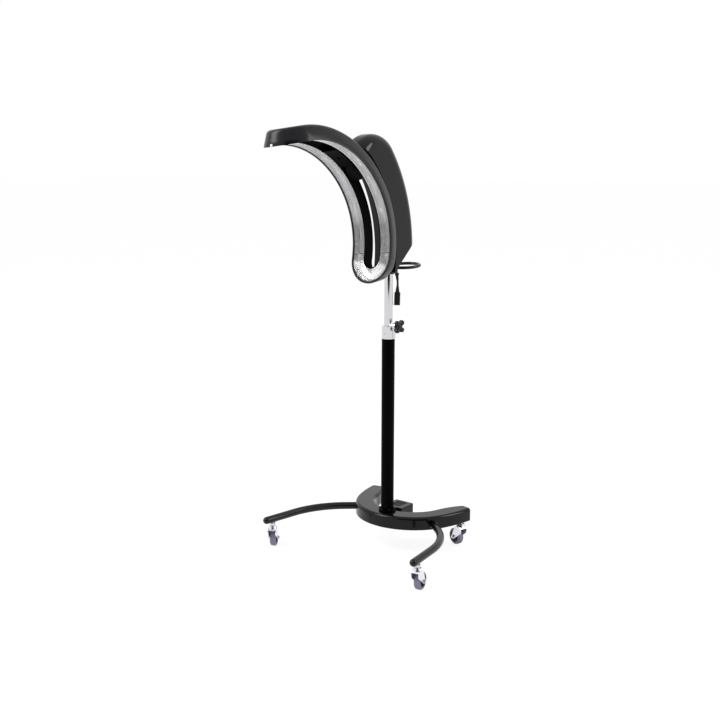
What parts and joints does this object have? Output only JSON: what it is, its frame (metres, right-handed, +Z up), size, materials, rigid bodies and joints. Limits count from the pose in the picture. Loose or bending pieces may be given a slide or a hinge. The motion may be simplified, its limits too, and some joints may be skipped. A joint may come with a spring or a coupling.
{
  "type": "hair colour processor",
  "caption": "Floor-standing hair colour processor: infrared halo that orbits on a curved head, height clamped mast, slim column and crescent base with bent legs on swivel castors.",
  "frame": {"origin": "on the floor plane, on the axis of the column", "axes": "+Z up along the column, +X to the rear where the operator stands, -X to the client under the halo, +Y to the right of a client who sits facing away from the column"},
  "size_m": [0.6368, 0.5725, 1.2296],
  "materials": {
    "gloss_black": "high gloss",
    "satin_black": "fine satin",
    "tube_black": "gloss powder coat",
    "rubber_black": "matt",
    "chrome": "polished plate",
    "zinc": "bright zinc plate",
    "steel": "plain steel",
    "reflector": "polished sheet",
    "guard_wire": "plated wire",
    "heater_quartz": "frosted tube",
    "ceramic": "unglazed ceramic",
    "lens": "smoked",
    "tyre_grey": "soft grey",
    "wheel_core": "moulded",
    "board_green": "circuit board",
    "button_grey": "moulded",
    "bush_white": "acetal"
  },
  "bodies": {
    "base": {"base_cover": "gloss_black", "base_frame": "tube_black", "leg_left": "tube_black", "leg_right": "tube_black", "leg_end_caps": "satin_black", "castor_stems": "steel", "column_foot": "tube_black", "foot_screws": "chrome", "column_tube": "tube_black", "mast_collar": "chrome", "collar_set_screw": "steel"},
    "castor_front_left": {"castor_front_left_fork": "zinc", "castor_front_left_axle": "steel"},
    "wheel_front_left": {"castor_front_left_hub": "wheel_core", "castor_front_left_tyre": "tyre_grey"},
    "castor_front_right": {"castor_front_right_fork": "zinc", "castor_front_right_axle": "steel"},
    "wheel_front_right": {"castor_front_right_hub": "wheel_core", "castor_front_right_tyre": "tyre_grey"},
    "castor_rear_left": {"castor_rear_left_fork": "zinc", "castor_rear_left_axle": "steel"},
    "wheel_rear_left": {"castor_rear_left_hub": "wheel_core", "castor_rear_left_tyre": "tyre_grey"},
    "castor_rear_right": {"castor_rear_right_fork": "zinc", "castor_rear_right_axle": "steel"},
    "wheel_rear_right": {"castor_rear_right_hub": "wheel_core", "castor_rear_right_tyre": "tyre_grey"},
    "clamp_handle": {"clamp_screw": "steel", "clamp_knob": "satin_black"},
    "clamp_shoe": {"clamp_pad": "bush_white"},
    "mast_bush": {"glide_bush": "bush_white"},
    "head": {"mast_tube": "chrome", "mast_end_cap": "satin_black", "head_chassis": "steel", "housing_left": "gloss_black", "housing_right": "gloss_black", "rear_panel": "gloss_black", "display_window": "lens", "control_board": "board_green", "gear_motor": "steel", "hub_bearings": "steel", "slip_ring": "satin_black", "ring_bracket": "satin_black", "rear_ring": "satin_black", "cable_gland": "rubber_black", "pigtail_cable": "rubber_black", "pigtail_connector": "rubber_black"},
    "halo": {"orbit_shaft": "steel", "hub_carrier": "steel", "hub_cap": "satin_black", "sensor_block": "satin_black", "halo_shell": "satin_black", "halo_reflector": "reflector", "halo_guard": "guard_wire", "heater_tubes": "heater_quartz", "heater_caps": "ceramic"},
    "key_1": {"button_1": "button_grey"},
    "key_2": {"button_2": "button_grey"},
    "key_3": {"button_3": "button_grey"},
    "key_4": {"button_4": "button_grey"}
  },
  "joints": [
    {"name": "castor_front_left_swivel", "type": "hinge", "parent": "base", "child": "castor_front_left", "pos_m": [-0.217, 0.264, 0.06], "axis": [0, 0, 1], "continuous": true},
    {"name": "castor_front_left_roll", "type": "hinge", "parent": "castor_front_left", "child": "wheel_front_left", "pos_m": [-0.20089, 0.27407, 0.025], "axis": [-0.5299, 0.848, 0], "continuous": true},
    {"name": "castor_front_right_swivel", "type": "hinge", "parent": "base", "child": "castor_front_right", "pos_m": [-0.217, -0.264, 0.06], "axis": [0, 0, 1], "continuous": true},
    {"name": "castor_front_right_roll", "type": "hinge", "parent": "castor_front_right", "child": "wheel_front_right", "pos_m": [-0.19829, -0.2607, 0.025], "axis": [-0.1736, 0.9848, 0], "continuous": true},
    {"name": "castor_rear_left_swivel", "type": "hinge", "parent": "base", "child": "castor_rear_left", "pos_m": [0.146, 0.166, 0.06], "axis": [0, 0, 1], "continuous": true},
    {"name": "castor_rear_left_roll", "type": "hinge", "parent": "castor_rear_left", "child": "wheel_rear_left", "pos_m": [0.16156, 0.1769, 0.025], "axis": [-0.5736, 0.8192, 0], "continuous": true},
    {"name": "castor_rear_right_swivel", "type": "hinge", "parent": "base", "child": "castor_rear_right", "pos_m": [0.146, -0.166, 0.06], "axis": [0, 0, 1], "continuous": true},
    {"name": "castor_rear_right_roll", "type": "hinge", "parent": "castor_rear_right", "child": "wheel_rear_right", "pos_m": [0.15187, -0.14793, 0.025], "axis": [-0.9511, 0.309, 0], "continuous": true},
    {"name": "clamp_turn", "type": "hinge", "parent": "clamp_shoe", "child": "clamp_handle", "pos_m": [0, -0.03, 0.672], "axis": [0, -1, 0], "range_deg": [0, 720]},
    {"name": "clamp_release", "type": "slide", "parent": "base", "child": "clamp_shoe", "axis": [0, -1, 0], "range_m": [0, 0.0025]},
    {"name": "mast_slide", "type": "slide", "parent": "base", "child": "mast_bush", "axis": [0, 0, 1], "range_m": [-0.135, 0.2]},
    {"name": "head_swivel", "type": "hinge", "parent": "mast_bush", "child": "head", "pos_m": [0, 0, 0.6], "axis": [0, 0, 1], "continuous": true},
    {"name": "halo_orbit", "type": "hinge", "parent": "head", "child": "halo", "pos_m": [-0.35047, 0, 0.9405], "axis": [0.7559, 0, 0.6547], "continuous": true},
    {"name": "button_1_press", "type": "slide", "parent": "head", "child": "key_1", "axis": [-0.9833, 0, -0.1822], "range_m": [0, 0.0012], "stiffness_N_per_m": 900, "springref_m": -0.0003},
    {"name": "button_2_press", "type": "slide", "parent": "head", "child": "key_2", "axis": [-0.9703, 0, -0.2419], "range_m": [0, 0.0012], "stiffness_N_per_m": 900, "springref_m": -0.0003},
    {"name": "button_3_press", "type": "slide", "parent": "head", "child": "key_3", "axis": [-0.9537, 0, -0.3007], "range_m": [0, 0.0012], "stiffness_N_per_m": 900, "springref_m": -0.0003},
    {"name": "button_4_press", "type": "slide", "parent": "head", "child": "key_4", "axis": [-0.9336, 0, -0.3584], "range_m": [0, 0.0012], "stiffness_N_per_m": 900, "springref_m": -0.0003}
  ],
  "couplings": [
    {"joint": "clamp_release", "follows": "clamp_turn", "m_per_rad": 0.00019894}
  ]
}
